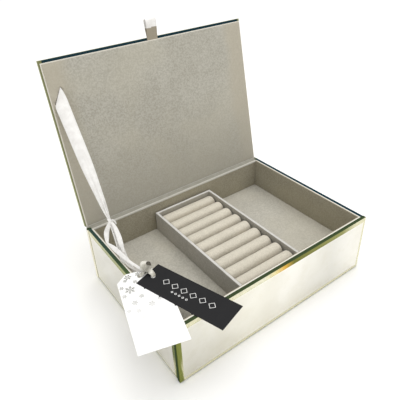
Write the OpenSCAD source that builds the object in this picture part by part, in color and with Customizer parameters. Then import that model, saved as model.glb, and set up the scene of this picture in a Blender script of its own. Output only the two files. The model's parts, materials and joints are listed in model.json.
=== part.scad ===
// Vanity trinket box: mirrored glass panels on a board carcass, velvet lining,
// a book lid on a cloth hinge with a stay ribbon, and a lift-out ring tray.
// Millimetres, +Z up. Origin: centre of the underside. The front faces -Y.

/* [Box] */
// Outer width of the box, left to right
box_w = 280; // [260:1:300]
// Outer depth of the box, front to back
box_d = 200; // [198:1:206]
// Height of the rim above the surface that the box stands on
rim_z = 80; // [78:1:90]
// Height of the velvet floor inside
floor_z = 38.5; // [34:0.5:40]

/* [Walls] */
// Thickness of the mirror glass
glass_t = 5; // [3:0.5:6]
// Width of the bevel around each mirror's outer face
bevel_w = 5; // [2:0.5:8]
// Depth of that bevel at the mirror's edge
bevel_d = 0.8; // [0.3:0.1:1.4]
// Thickness of the carcass boards
board_t = 1.5; // [1.5:0.5:4]
// Thickness of the velvet-covered lining cards
lining_t = 1; // [1:0.5:2.5]

/* [Lid] */
// Width of the lid, left to right
lid_w = 278; // [270:1:280]
// Length of the lid from its hinge line to its free edge
lid_l = 201; // [199:1:205]
// Thickness of the lid's board
lid_board_t = 2; // [2:0.5:5]
// Angle between the lid and the rim while the stay ribbon holds it
lid_open = 101; // [96:1:108]
// Cream margin that the lid's board shows around its lining
lid_margin = 1; // [0.5:0.5:3]

/* [Ring tray] */
// Outer width of the ring tray
tray_w = 90; // [70:1:100]
// Outer depth of the ring tray, front to back
tray_d = 177.5; // [176:0.5:180]
// Height of the ring tray
tray_h = 28.5; // [26:0.5:32]
// Sideways place of the tray's middle
tray_x = -2.6; // [-12:0.2:12]
// Diameter of one ring roll
roll_d = 18.4; // [16:0.2:18.4]

/* [Ribbons and tags] */
// Width of the stay ribbon
stay_w = 19; // [12:1:22]
// Width of the pull tab
tab_w = 15; // [10:1:20]
// How far the pull tab stands out of the lid's edge
tab_reach = 21; // [14:1:26]
// Width and length of the white hang tag
white_tag_size = [49.5, 105];
// Width and length of the black hang tag
black_tag_size = [35, 108];

/* [Hidden] */
$fn = 48;

// Stack of the wall, from the outer face inwards
half_w = box_w / 2;
half_d = box_d / 2;
board_w = half_w - glass_t;
board_d = half_d - glass_t;
card_w = board_w - board_t;
card_d = board_d - board_t;
room_w = card_w - lining_t;
room_d = card_d - lining_t;

// Bottom and raised floor
felt_t = 1;
base_t = 3;
floor_board_t = 3;
floor_pad_t = 2;
ledge = 8;
pad_z = floor_z - floor_pad_t;
floor_board_z = pad_z - floor_board_t;

// Cloth hinge along the back: it lies on the back rim and under the lid
cloth_t = 0.5;
lid_cloth_w = 1.2;
hinge_gap = 0.2;
hinge_y = half_d + hinge_gap;
hinge_z = rim_z + hinge_gap;

// How far the lid's board stands back from the glass: sides and free edge
lid_side_in = 1.3;
lid_end_in = 3;
lining_half_w = lid_w / 2 - lid_side_in - lid_margin;

// Mirror white, glass edge, cream paper, velvet and ribbon colours
mirror_c = [0.92, 0.91, 0.87];
board_c = [0.86, 0.83, 0.76];
velvet_c = [0.60, 0.57, 0.51];
pale_velvet_c = [0.71, 0.69, 0.64];
roll_c = [0.86, 0.82, 0.75];
ribbon_c = [0.95, 0.94, 0.91];
felt_c = [0.35, 0.34, 0.32];
cloth_c = [0.78, 0.75, 0.68];

// Ring tray
tray_wall = 3.5;
tray_base_t = 3;
tray_back_gap = 3;
tray_y = room_d - tray_back_gap - tray_d / 2;
tray_in_w = tray_w - 2 * tray_wall;
tray_in_d = tray_d - 2 * tray_wall;
bed_t = 4.5;
roll_gap = 0.35;
roll_pitch = roll_d + roll_gap;
roll_z = floor_z + tray_base_t + bed_t + roll_d / 2 + 0.2;
roll_end_gap = 1.5;
roll_round = 3;

// Pull tab: sideways place, loop radius, and the pocket that its ends go into
tab_x = 2;
tab_r = 2.3;
tab_neck = 7;
tab_tail = 11;
ribbon_t = 0.6;

// Slit in the lid's lining that the stay ribbon comes out of
lid_slit = [-half_w + 11.8, -161.4];
lid_slit_turn = 58;
slit_w = 1.6;
// Slit in the left wall's lining that the stay ribbon goes into
wall_slit = [-room_w, 2, 69.6];
// Where the tag ribbon is tied to the stay, how it sags, and its bow
tie_point = [-half_w + 10, 40.5, 120.6];
sag_point = [-half_w + 15, 17, 92];
bow_point = [-half_w + 24, -8, 87];

// Hang tags: holes, places and thickness
tag_t = 0.5;
tag_hole_d = 5;
tag_hole_in = 8;
tag_clip = 11;
nib_count = 4;
nib_d = 2;
white_tag_at = [-half_w - 11.3, -1.4];
white_tag_turn = -16.1;
black_tag_at = [-half_w + 2.1, -23.4];
black_tag_turn = 17.8;

// ---- shapes that repeat ----

// Mirror panel lying in XY, centred, bevelled round its upper face
module mirror_panel(w, d) {
    intersection() {
        rotate([90, 0, 0])
            linear_extrude(d, center = true)
                bevelled_edge(w);
        rotate([90, 0, 90])
            linear_extrude(w, center = true)
                bevelled_edge(d);
    }
}

// Cross-section of a bevelled panel of the given length
module bevelled_edge(length) {
    polygon([
        [-length / 2, 0],
        [length / 2, 0],
        [length / 2, glass_t - bevel_d],
        [length / 2 - bevel_w, glass_t],
        [-length / 2 + bevel_w, glass_t],
        [-length / 2, glass_t - bevel_d]
    ]);
}

// Box from its lowest to its highest corner
module block(low, high) {
    translate(low)
        cube(high - low);
}

// Moves a shape drawn on the closed lid to where the open lid holds it
module on_lid() {
    translate([0, hinge_y, hinge_z])
        rotate([-lid_open, 0, 0])
            children();
}

// Flat card tag with its upper left corner at the origin, hanging along -Y
module hang_tag(size, clip) {
    difference() {
        linear_extrude(tag_t)
            polygon([
                [clip, 0],
                [size[0] - clip, 0],
                [size[0], -clip],
                [size[0], -size[1]],
                [0, -size[1]],
                [0, -clip]
            ]);
        translate([size[0] / 2, -tag_hole_in, -1])
            cylinder(h = tag_t + 2, d = tag_hole_d);
    }
}

// Flat strip between two places, w wide along the given direction
module strip(from, to, w, along) {
    hull() {
        strip_end(from, w, along);
        strip_end(to, w, along);
    }
}

module strip_end(at, w, along) {
    translate(at)
        rotate([0, 0, along])
            cube([w, ribbon_t, ribbon_t], center = true);
}

// ---- box: base and carcass ----

module base_felt() {
    color(felt_c)
        block([-board_w, -board_d, 0], [board_w, board_d, felt_t]);
}

module base_board() {
    color(board_c)
        block([-card_w, -card_d, felt_t], [card_w, card_d, felt_t + base_t]);
}

module front_board() {
    color(board_c)
        block([-board_w, -board_d, felt_t], [board_w, -card_d, rim_z]);
}

module back_board() {
    color(board_c)
        block([-board_w, card_d, felt_t], [board_w, board_d, rim_z - cloth_t]);
}

module left_board() {
    color(board_c)
        block([-board_w, -card_d, felt_t], [-card_w, card_d, rim_z]);
}

module right_board() {
    color(board_c)
        block([card_w, -card_d, felt_t], [board_w, card_d, rim_z]);
}

// ---- box: mirror glass ----

module front_mirror() {
    color(mirror_c)
        translate([0, -board_d, (felt_t + rim_z) / 2])
            rotate([90, 0, 0])
                mirror_panel(box_w, rim_z - felt_t);
}

module back_mirror() {
    back_top = rim_z - cloth_t;
    color(mirror_c)
        translate([0, board_d, (felt_t + back_top) / 2])
            rotate([-90, 0, 0])
                mirror_panel(box_w, back_top - felt_t);
}

module side_mirror(side) {
    color(mirror_c)
        translate([side * board_w, 0, (felt_t + rim_z) / 2])
            rotate([0, side * 90, 0])
                mirror_panel(rim_z - felt_t, 2 * board_d);
}

module left_mirror() {
    side_mirror(-1);
}

module right_mirror() {
    side_mirror(1);
}

// ---- box: velvet lining and raised floor ----

module front_lining() {
    color(velvet_c)
        block([-card_w, -card_d, pad_z], [card_w, -room_d, rim_z]);
}

module back_lining() {
    color(velvet_c)
        block([-card_w, room_d, pad_z], [card_w, card_d, rim_z - cloth_t]);
}

module left_lining() {
    color(velvet_c)
        difference() {
            block([-card_w, -room_d, pad_z], [-room_w, room_d, rim_z]);
            translate([-room_w, wall_slit[1], wall_slit[2]])
                cube([4 * lining_t, stay_w + 1, slit_w], center = true);
        }
}

module right_lining() {
    color(velvet_c)
        block([room_w, -room_d, pad_z], [card_w, room_d, rim_z]);
}

// Four strips glued round the carcass that carry the raised floor
module floor_ledges() {
    low = floor_board_z - ledge;
    color(board_c)
        for (side = [-1, 1]) {
            translate([0, side * (card_d - ledge / 2), low + ledge / 2])
                cube([2 * card_w, ledge, ledge], center = true);
            translate([side * (card_w - ledge / 2), 0, low + ledge / 2])
                cube([ledge, 2 * (card_d - ledge) - 1, ledge], center = true);
        }
}

module floor_board() {
    color(board_c)
        block([-card_w, -card_d, floor_board_z], [card_w, card_d, pad_z]);
}

module floor_pad() {
    color(pale_velvet_c)
        block([-room_w, -room_d, pad_z], [room_w, room_d, floor_z]);
}

module box_hinge_cloth() {
    color(cloth_c)
        block([-card_w, room_d, rim_z - cloth_t], [card_w, half_d, rim_z]);
}

// ---- lid ----

module lid_mirror() {
    color(mirror_c)
        on_lid()
            translate([0, -lid_l / 2, lining_t + lid_board_t])
                mirror_panel(lid_w, lid_l);
}

module lid_board() {
    pocket_l = 12;
    pocket_t = 2 * ribbon_t;
    color(board_c)
        on_lid()
            difference() {
                block(
                    [-lid_w / 2 + lid_side_in, -lid_l + lid_end_in, lining_t],
                    [lid_w / 2 - lid_side_in, -hinge_gap, lining_t + lid_board_t]
                );
                translate([tab_x, -lid_l + pocket_l / 2, lining_t + lid_board_t / 2])
                    cube([tab_w, pocket_l, pocket_t], center = true);
            }
}

module lid_lining() {
    color(velvet_c)
        on_lid()
            difference() {
                block(
                    [-lining_half_w, -lid_l + lid_end_in + lid_margin, 0],
                    [lining_half_w, -lid_cloth_w, lining_t]
                );
                translate([lid_slit[0], lid_slit[1], 0])
                    rotate([0, 0, -lid_slit_turn])
                        cube([stay_w + 1, slit_w, 3 * lining_t], center = true);
            }
}

module lid_hinge_cloth() {
    color(cloth_c)
        on_lid()
            block(
                [-lining_half_w, -lid_cloth_w, lining_t - cloth_t],
                [lining_half_w, -hinge_gap, lining_t]
            );
}

// Ribbon folded to a loop, its two ends glued in the board's pocket
module pull_tab() {
    color(ribbon_c)
        on_lid()
            translate([tab_x, -lid_l, lining_t + lid_board_t / 2])
                rotate([90, 0, 90])
                    linear_extrude(tab_w - 0.6, center = true)
                        difference() {
                            union() {
                                tab_loop(tab_r, ribbon_t);
                                translate([-1, -ribbon_t])
                                    square([tab_tail + 1, 2 * ribbon_t]);
                            }
                            tab_loop(tab_r - ribbon_t, 0.01);
                        }
}

// Side view of the loop: a round end that narrows to its neck at the lid
module tab_loop(r, neck_half_t) {
    end_x = -tab_reach + tab_r;
    translate([end_x, 0])
        circle(r);
    polygon([
        [end_x, r],
        [end_x, -r],
        [end_x + tab_neck, -r],
        [-1, -neck_half_t],
        [-1, neck_half_t],
        [end_x + tab_neck, r]
    ]);
}

// ---- ribbons ----

// Stay from the lid's slit to the left wall's slit, pinched where it is tied
module stay_ribbon() {
    mouth = wall_slit + [0.7, 0, 0];
    tucked = wall_slit - [0.6, 0, 0];
    tie_w = 4;
    color(ribbon_c) {
        in_lid_slit(ribbon_t + 0.5, 0.35);
        hull() {
            in_lid_slit(ribbon_t, -0.2);
            strip_end(tie_point, tie_w, 90);
        }
        hull() {
            strip_end(tie_point, tie_w, 90);
            strip_end(mouth, stay_w, 90);
        }
        strip(mouth, tucked, stay_w, 90);
    }
}

// Short stretch of the stay standing in the lid's slit, tall by its height z
module in_lid_slit(tall, z) {
    on_lid()
        translate([lid_slit[0], lid_slit[1], z])
            rotate([0, 0, -lid_slit_turn])
                cube([stay_w, ribbon_t, tall], center = true);
}

// Strand from the tie down to the bow
module tag_ribbon() {
    tag_ribbon_w = 6;
    color(ribbon_c) {
        strip(tie_point + [2.5, -1, -3], sag_point, tag_ribbon_w, 60);
        strip(sag_point, bow_point + [-2, 8, -3], tag_ribbon_w, 30);
    }
}

// Bow inside the rim, and its band that lies over the tags' holes
module ribbon_bow() {
    bow_w = 9;
    bow_r = 5.5;
    band_r = 1.8;
    band_z = rim_z + 2 * tag_t + 0.2;
    holes = [
        tag_hole(white_tag_at, white_tag_turn, white_tag_size),
        tag_hole(black_tag_at, black_tag_turn, black_tag_size)
    ];
    color(ribbon_c) {
        translate(bow_point)
            rotate([0, 90, 0])
                cylinder(h = bow_w, r = bow_r, center = true);
        hull()
            for (hole = holes)
                translate([hole[0], hole[1], band_z])
                    cylinder(h = ribbon_t, r = band_r);
    }
}

// Centre of a placed tag's hole
function tag_hole(at, turn, size) = [
    at[0] + size[0] / 2 * cos(turn) + tag_hole_in * sin(turn),
    at[1] + size[0] / 2 * sin(turn) - tag_hole_in * cos(turn)
];

// ---- hang tags ----

module white_tag() {
    color([0.97, 0.97, 0.96])
        translate([white_tag_at[0], white_tag_at[1], rim_z])
            rotate([0, 0, white_tag_turn])
                hang_tag(white_tag_size, tag_clip);
}

// Black tag with the torn nibs of its perforated edge
module black_tag() {
    nib_step = black_tag_size[1] * 0.75 / nib_count;
    color([0.17, 0.17, 0.18])
        translate([black_tag_at[0], black_tag_at[1], rim_z + tag_t])
            rotate([0, 0, black_tag_turn])
                union() {
                    hang_tag(black_tag_size, 0);
                    for (i = [0 : nib_count - 1])
                        translate([0, -12 - i * nib_step, 0])
                            cylinder(h = tag_t, d = nib_d);
                }
}

// ---- ring tray ----

// Moves a shape drawn round the tray's own middle to its place on the floor
module in_tray() {
    translate([tray_x, tray_y, floor_z])
        children();
}

module tray_base() {
    color(pale_velvet_c)
        in_tray()
            translate([0, 0, tray_base_t / 2])
                cube([tray_in_w, tray_in_d, tray_base_t], center = true);
}

// Long wall on the given side, -1 left or 1 right
module tray_side(side) {
    color(pale_velvet_c)
        in_tray()
            translate([side * (tray_w - tray_wall) / 2, 0, tray_h / 2])
                cube([tray_wall, tray_d, tray_h], center = true);
}

// Short wall at the given end, -1 front or 1 back
module tray_end(side) {
    color(pale_velvet_c)
        in_tray()
            translate([0, side * (tray_d - tray_wall) / 2, tray_h / 2])
                cube([tray_in_w, tray_wall, tray_h], center = true);
}

module tray_front_wall() {
    tray_end(-1);
}

module tray_back_wall() {
    tray_end(1);
}

module tray_left_wall() {
    tray_side(-1);
}

module tray_right_wall() {
    tray_side(1);
}

module roll_bed() {
    color(roll_c)
        in_tray()
            translate([0, 0, tray_base_t + bed_t / 2])
                cube([tray_in_w, tray_in_d, bed_t], center = true);
}

// One velvet roll with rounded ends, number 1 at the back
module ring_roll(number) {
    length = tray_in_w - roll_end_gap - roll_gap;
    left = tray_x - tray_in_w / 2 + roll_gap;
    y = tray_y + tray_in_d / 2 - roll_gap / 2 - roll_pitch * (number - 0.5);
    color(roll_c)
        translate([left, y, roll_z])
            rotate([0, 90, 0])
                rotate_extrude()
                    roll_profile(length);
}

// Half the roll's long section: a straight side and two rounded corners
module roll_profile(length) {
    r = roll_d / 2;
    square([r - roll_round, length]);
    translate([0, roll_round])
        square([r, length - 2 * roll_round]);
    translate([r - roll_round, roll_round])
        circle(roll_round);
    translate([r - roll_round, length - roll_round])
        circle(roll_round);
}

base_felt();
base_board();
front_board();
back_board();
left_board();
right_board();
front_mirror();
back_mirror();
left_mirror();
right_mirror();
front_lining();
back_lining();
left_lining();
right_lining();
floor_ledges();
floor_board();
floor_pad();
box_hinge_cloth();
lid_mirror();
lid_board();
lid_lining();
lid_hinge_cloth();
pull_tab();
stay_ribbon();
tag_ribbon();
ribbon_bow();
white_tag();
black_tag();
tray_base();
tray_front_wall();
tray_back_wall();
tray_left_wall();
tray_right_wall();
roll_bed();
ring_roll(1);  // ring_roll_1
ring_roll(2);  // ring_roll_2
ring_roll(3);  // ring_roll_3
ring_roll(4);  // ring_roll_4
ring_roll(5);  // ring_roll_5
ring_roll(6);  // ring_roll_6
ring_roll(7);  // ring_roll_7
ring_roll(8);  // ring_roll_8
ring_roll(9);  // ring_roll_9
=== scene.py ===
"""Looks of the vanity trinket box: mirrored glass, velvet lining, ring rolls, satin ribbons and hang tags.

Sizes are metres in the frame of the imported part: +X right, -Y front, +Z up, origin under the box.
The ribbons' routes, the hinge's section and the tags' prints are written in millimetres.
"""

import json
import math
from collections import namedtuple

import bmesh
import bpy
import numpy as np
from mathutils import Matrix, Vector, noise


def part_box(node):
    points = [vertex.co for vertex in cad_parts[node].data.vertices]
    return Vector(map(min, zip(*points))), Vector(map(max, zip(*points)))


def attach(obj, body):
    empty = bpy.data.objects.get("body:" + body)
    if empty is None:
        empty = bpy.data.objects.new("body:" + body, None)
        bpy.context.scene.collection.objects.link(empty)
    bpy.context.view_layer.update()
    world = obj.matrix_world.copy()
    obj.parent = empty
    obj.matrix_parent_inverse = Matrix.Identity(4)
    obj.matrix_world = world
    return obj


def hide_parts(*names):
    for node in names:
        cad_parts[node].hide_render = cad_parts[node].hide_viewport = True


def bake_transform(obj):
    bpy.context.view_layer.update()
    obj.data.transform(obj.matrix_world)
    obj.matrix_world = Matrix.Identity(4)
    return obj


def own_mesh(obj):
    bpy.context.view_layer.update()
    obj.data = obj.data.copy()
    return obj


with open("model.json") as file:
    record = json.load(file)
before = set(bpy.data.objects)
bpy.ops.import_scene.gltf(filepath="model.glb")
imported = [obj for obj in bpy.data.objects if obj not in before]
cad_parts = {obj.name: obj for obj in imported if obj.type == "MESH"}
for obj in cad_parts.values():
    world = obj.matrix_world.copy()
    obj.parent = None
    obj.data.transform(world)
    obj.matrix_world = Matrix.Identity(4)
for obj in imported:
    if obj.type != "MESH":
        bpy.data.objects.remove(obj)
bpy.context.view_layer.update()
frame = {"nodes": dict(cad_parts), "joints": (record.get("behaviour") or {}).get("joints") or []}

MM = 0.001

# ---- places that the pieces are built from ----


def joint_place(name):
    """Point on a joint's axis."""
    return next(Vector(joint["pos_m"]) for joint in frame["joints"] if joint["name"] == name)


# The lid stands open at LID_ANGLE. ON_LID turns the closed lid's place into the open one's
HINGE = joint_place("lid_hinge")
LID_ANGLE = math.radians(101)
LID_UP = Vector((0, math.sin(LID_ANGLE), math.cos(LID_ANGLE)))
LID_BACK = Vector((0, math.cos(LID_ANGLE), -math.sin(LID_ANGLE)))
ON_LID = Matrix.Translation(HINGE) @ Matrix((Vector((1, 0, 0)), LID_BACK, LID_UP)).transposed().to_4x4()

# Slit in the lid's lining: its middle from the hinge on the closed lid, and how far it is turned
LID_SLIT = Vector((-128.2, -161.4, 0)) * MM
LID_SLIT_TURN = math.radians(-58)
SLIT_LENGTH = 20 * MM
SLIT_WIDTH = 1.6 * MM

# Where the tag ribbon is tied round the stay, the middle of the wall's slit, and the bow's knot
TIE = Vector((-130, 40.5, 120.6)) * MM
WALL_SLIT = Vector((-132.5, 2, 69.6)) * MM
BOW = Vector((-122.5, -16, 83.4)) * MM

PRINT_THICKNESS = 0.04 * MM


def new_object(name, data):
    """Object that holds the data, in the scene."""
    made = bpy.data.objects.new(name, data)
    bpy.context.scene.collection.objects.link(made)
    return made


# ---- camera, stage and light ----

# The camera's place, and its turn from +Y to +X, its tilt down and its roll in degrees
CAMERA_PLACE = Vector((-271.8, -342.1, 409.7)) * MM
CAMERA_ANGLES = (34.475, 32.728, -2.836)
FLOOR_HALF = 30.0
KEY_PLACE = Vector((0.25, 0.15, 1.5))
KEY_AIM = Vector((0, 0, 0.05))


def add_camera():
    """Camera in front of the box's left corner, looking down at it."""
    yaw, pitch, roll = (math.radians(a) for a in CAMERA_ANGLES)
    forward = Vector((math.sin(yaw) * math.cos(pitch), math.cos(yaw) * math.cos(pitch), -math.sin(pitch)))
    level = Vector((math.cos(yaw), -math.sin(yaw), 0))
    upright = level.cross(forward)
    right = level * math.cos(roll) + upright * math.sin(roll)
    up = upright * math.cos(roll) - level * math.sin(roll)
    data = bpy.data.cameras.new("camera")
    data.sensor_width = 36
    data.lens = 40.03
    data.shift_x, data.shift_y = 0.0024, -0.025
    data.clip_start = 0.01
    data.clip_end = 50
    camera = new_object("camera", data)
    place = Matrix((right, up, -forward)).transposed().to_4x4()
    place.translation = CAMERA_PLACE
    camera.matrix_world = place
    bpy.context.scene.camera = camera


def add_floor():
    """Wide pale floor that the box stands on."""
    mesh = bpy.data.meshes.new("stage_floor")
    corners = [(x * FLOOR_HALF, y * FLOOR_HALF, 0) for x, y in ((-1, -1), (1, -1), (1, 1), (-1, 1))]
    mesh.from_pydata(corners, [], [(0, 1, 2, 3)])
    floor = new_object("stage_floor", mesh)
    floor.data.materials.append(floor_material())


def add_room():
    """White room round the stage."""
    world = bpy.data.worlds.new("studio")
    world.use_nodes = True
    background = world.node_tree.nodes["Background"]
    background.inputs["Color"].default_value = (1.0, 0.99, 0.97, 1)
    background.inputs["Strength"].default_value = 0.86
    bpy.context.scene.world = world
    bpy.context.scene.view_settings.view_transform = "Standard"


def add_light(name, kind, power):
    """Light of one kind, with its power in watts, or in watts per square metre for a sun."""
    data = bpy.data.lights.new(name, kind)
    data.energy = power
    return new_object(name, data)


def add_lights():
    """Softbox over the box, and a weak sun as wide as an overcast sky."""
    key = add_light("key", "AREA", 5)
    key.data.size = 1.1
    key.location = KEY_PLACE
    key.rotation_mode = "QUATERNION"
    key.rotation_quaternion = (KEY_AIM - KEY_PLACE).to_track_quat("-Z", "Y")
    sky = add_light("sky", "SUN", 0.75)
    sky.data.angle = math.radians(70)
    sky.rotation_euler = (math.radians(12), math.radians(8), 0)


# ---- material nodes ----


class Tree:
    """Node tree of one material, with one Principled shader at its end."""

    def __init__(self, name, **shader):
        self.material = bpy.data.materials.new(name)
        self.material.use_nodes = True
        self.nodes = self.material.node_tree.nodes
        self.links = self.material.node_tree.links
        self.shader = self.nodes["Principled BSDF"]
        self.put(self.shader, shader)
        self.coord = self.add("TexCoord")
        self.place = self.coord.outputs["Object"]

    def put(self, node, inputs):
        """Sets or links a node's inputs by name, with _ for a space."""
        for name, value in inputs.items():
            socket = node.inputs[name if isinstance(name, int) else name.replace("_", " ")]
            if isinstance(value, bpy.types.NodeSocket):
                self.links.new(value, socket)
            elif socket.type == "RGBA":
                socket.default_value = (*value, 1)
            else:
                socket.default_value = value

    def add(self, kind, inputs=None, **settings):
        node = self.nodes.new("ShaderNode" + kind)
        for name, value in settings.items():
            setattr(node, name, value)
        self.put(node, inputs or {})
        return node

    def noise(self, size, detail=2.0, roughness=0.5, distortion=0.0):
        """Noise whose blots are about size metres across, from 0 to 1."""
        values = {"Vector": self.place, "Scale": 1 / size, "Detail": detail}
        values.update({"Roughness": roughness, "Distortion": distortion})
        return self.add("TexNoise", values).outputs["Fac"]

    def math(self, operation, a, b=0.0, clamp=False):
        return self.add("Math", {0: a, 1: b}, operation=operation, use_clamp=clamp).outputs[0]

    def total(self, *parts):
        """Sum of (value, share) parts, each value times its share."""
        (value, share), *others = parts
        result = self.math("MULTIPLY", value, share)
        for value, share in others:
            result = self.math("ADD", result, self.math("MULTIPLY", value, share))
        return result

    def axes(self):
        """The place's X, Y and Z."""
        return self.add("SeparateXYZ", {0: self.place}).outputs

    def threads(self, place, pitch):
        """Wave with one crest for each thread."""
        return self.math("SINE", self.math("MULTIPLY", place, 2 * math.pi / pitch))

    def stored(self, name):
        """Number that set_values gave each point of the mesh."""
        return self.add("Attribute", attribute_name=name).outputs["Fac"]

    def dot(self, vector, direction):
        values = {0: vector, 1: tuple(direction)}
        return self.add("VectorMath", values, operation="DOT_PRODUCT").outputs["Value"]

    def facing(self, direction):
        """1 where the surface faces the direction, 0 side on, and -1 where it faces away."""
        return self.dot(self.coord.outputs["Normal"], direction)

    def step(self, value, low, high):
        """0 below low, 1 above high, and smooth between."""
        values = {"Value": value, "From Min": low, "From Max": high}
        return self.add("MapRange", values, interpolation_type="SMOOTHSTEP").outputs["Result"]

    def span(self, value, low, high):
        """Turns a value from 0 to 1 into one from low to high."""
        return self.add("MapRange", {"Value": value, "To Min": low, "To Max": high}).outputs["Result"]

    def mix(self, factor, a, b):
        """Colour a at factor 0 and b at 1."""
        return self.add("Mix", {0: factor, 6: a, 7: b}, data_type="RGBA").outputs[2]

    def lay(self, colour, tint, value, low, high, share):
        """Colour with up to a share of the tint over it, as the value goes from low to high."""
        return self.mix(self.math("MULTIPLY", self.step(value, low, high), share), colour, tint)

    def ramp(self, factor, stops):
        """Colour ramp through (place, colour) stops."""
        node = self.add("ValToRGB", {"Fac": factor})
        elements = node.color_ramp.elements
        while len(elements) < len(stops):
            elements.new(0.5)
        for element, (place, colour) in zip(elements, stops):
            element.position = place
            element.color = (*colour, 1)
        return node.outputs["Color"]

    def bump(self, height, depth, normal=None):
        values = {"Height": height, "Distance": depth}
        if normal:
            values["Normal"] = normal
        return self.add("Bump", values).outputs["Normal"]

    def finish(self, **shader):
        self.put(self.shader, shader)
        return self.material


def scaled(colour, factor):
    return [factor * c for c in colour]


def floor_material():
    tree = Tree("stage_floor", Roughness=0.9, Specular_IOR_Level=0.1)
    tint = tree.mix(tree.noise(0.4), (0.95, 0.95, 0.945), (0.97, 0.97, 0.965))
    return tree.finish(Base_Color=tint)


def velvet_material(name, low, high, grain=1.0, top=None, margin=None):
    """Short velvet nap: fine grain, brushed patches and a pale sheen, between a low and a high colour.

    top is the colour of faces that look up, a painted light from above. margin is a warmer colour for the
    lid's left and right sides, and a lid with one gets painted shade low down.
    """
    tree = Tree(name, Roughness=0.95, Specular_IOR_Level=0.15)
    tree.put(tree.shader, {"Sheen Weight": 0.35, "Sheen Roughness": 0.45, "Sheen Tint": (1.0, 0.98, 0.93)})
    patch = tree.noise(0.045, detail=3, distortion=0.6)
    brushed = tree.noise(0.007, detail=4, roughness=0.6)
    nap = tree.noise(0.0008 * grain, detail=2, roughness=0.7)
    speck = tree.noise(0.0021 * grain, detail=1)
    level = tree.total(
        (tree.step(patch, 0.3, 0.7), 0.2),
        (tree.step(brushed, 0.3, 0.7), 0.14),
        (tree.step(nap, 0.36, 0.64), 0.30),
        (tree.step(speck, 0.4, 0.6), 0.36),
    )
    normal = tree.bump(brushed, 0.5 * MM, tree.bump(nap, 0.35 * MM))
    warm = [high[0] * 0.95, high[1] * 0.92, high[2] * 0.83]
    colour = tree.mix(level, low, high)
    colour = tree.lay(colour, warm, tree.noise(0.09, detail=2, distortion=0.5), 0.45, 0.65, 0.3)
    if margin:
        axes = tree.axes()
        side = tree.math("ADD", tree.math("ABSOLUTE", axes["X"]), tree.math("MULTIPLY", patch, 0.03))
        colour = tree.lay(colour, margin, side, 0.118, 0.138, 0.7)
        # Painted shade: the lid's lining is darker low down
        painted_shade_low = tree.math("SUBTRACT", 1.0, tree.step(axes["Z"], 0.085, 0.2))
        colour = tree.mix(tree.math("MULTIPLY", painted_shade_low, 0.6), colour, low)
    # Painted light: faces that look up take the top colour, as if lit from above
    if top:
        upper = tree.mix(level, scaled(top, 0.9), scaled(top, 1.14))
        colour = tree.mix(tree.step(tree.facing((0, 0, 1)), 0.5, 0.95), colour, upper)
    return tree.finish(Base_Color=colour, Normal=normal)


def paper_material(name, low, high, roughness=0.75):
    """Smooth wrapped paper or card, with faint fibres and handling marks."""
    tree = Tree(name, Specular_IOR_Level=0.3)
    fibres = tree.noise(0.0006, detail=4, roughness=0.7, distortion=1.5)
    marks = tree.noise(0.02, detail=3)
    level = tree.total((fibres, 0.6), (marks, 0.4))
    normal = tree.bump(fibres, 0.06 * MM)
    rough = tree.span(marks, roughness - 0.1, roughness + 0.1)
    return tree.finish(Base_Color=tree.mix(level, low, high), Roughness=rough, Normal=normal)


def felt_material(name, low, high):
    tree = Tree(name, Roughness=1.0, Specular_IOR_Level=0.1, Sheen_Weight=0.2)
    fibres = tree.noise(0.0012, detail=5, roughness=0.8, distortion=3)
    normal = tree.bump(fibres, 0.4 * MM)
    return tree.finish(Base_Color=tree.mix(fibres, low, high), Normal=normal)


# Colours of the glass: its edges and back, and the painted reflections on its bevels
PALE = (0.74, 0.71, 0.50)
AMBER = (0.72, 0.42, 0.07)
OLIVE = (0.17, 0.17, 0.035)
MOSS = (0.32, 0.33, 0.13)
TEAL = (0.013, 0.036, 0.048)
DARK_GREEN = (0.045, 0.066, 0.030)
PALE_GREEN = (0.46, 0.46, 0.32)
CREAM = (0.76, 0.74, 0.63)

# Painted reflections on the upper bevel, along a panel
FRONT_BANDS = [
    (0.0, (0.20, 0.22, 0.05)),
    (0.018, (0.22, 0.24, 0.06)),
    (0.035, PALE),
    (0.40, (0.80, 0.78, 0.60)),
    (0.455, (0.80, 0.70, 0.36)),
    (0.505, AMBER),
    (0.56, OLIVE),
    (0.85, (0.30, 0.30, 0.11)),
    (0.94, PALE),
]
SIDE_BANDS = [
    (0.0, (0.15, 0.18, 0.04)),
    (0.05, (0.10, 0.13, 0.04)),
    (0.35, MOSS),
    (0.75, (0.42, 0.44, 0.26)),
    (1.0, PALE),
]

# Painted reflection along a panel's face: lighter and darker tones standing in for what it reflects
EVEN_TONES = [(0.0, (0.80, 0.78, 0.72)), (1.0, (0.80, 0.78, 0.72))]
FRONT_TONES = [
    (0.05, (0.56, 0.54, 0.46)),
    (0.35, (0.92, 0.90, 0.80)),
    (0.55, (0.92, 0.90, 0.83)),
    (0.8, (0.56, 0.55, 0.50)),
    (0.95, (0.86, 0.84, 0.78)),
]
LEFT_TONES = [
    (0.1, (0.78, 0.76, 0.70)),
    (0.45, (0.46, 0.45, 0.40)),
    (0.8, (0.52, 0.51, 0.45)),
    (0.97, (0.62, 0.61, 0.53)),
]

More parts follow.
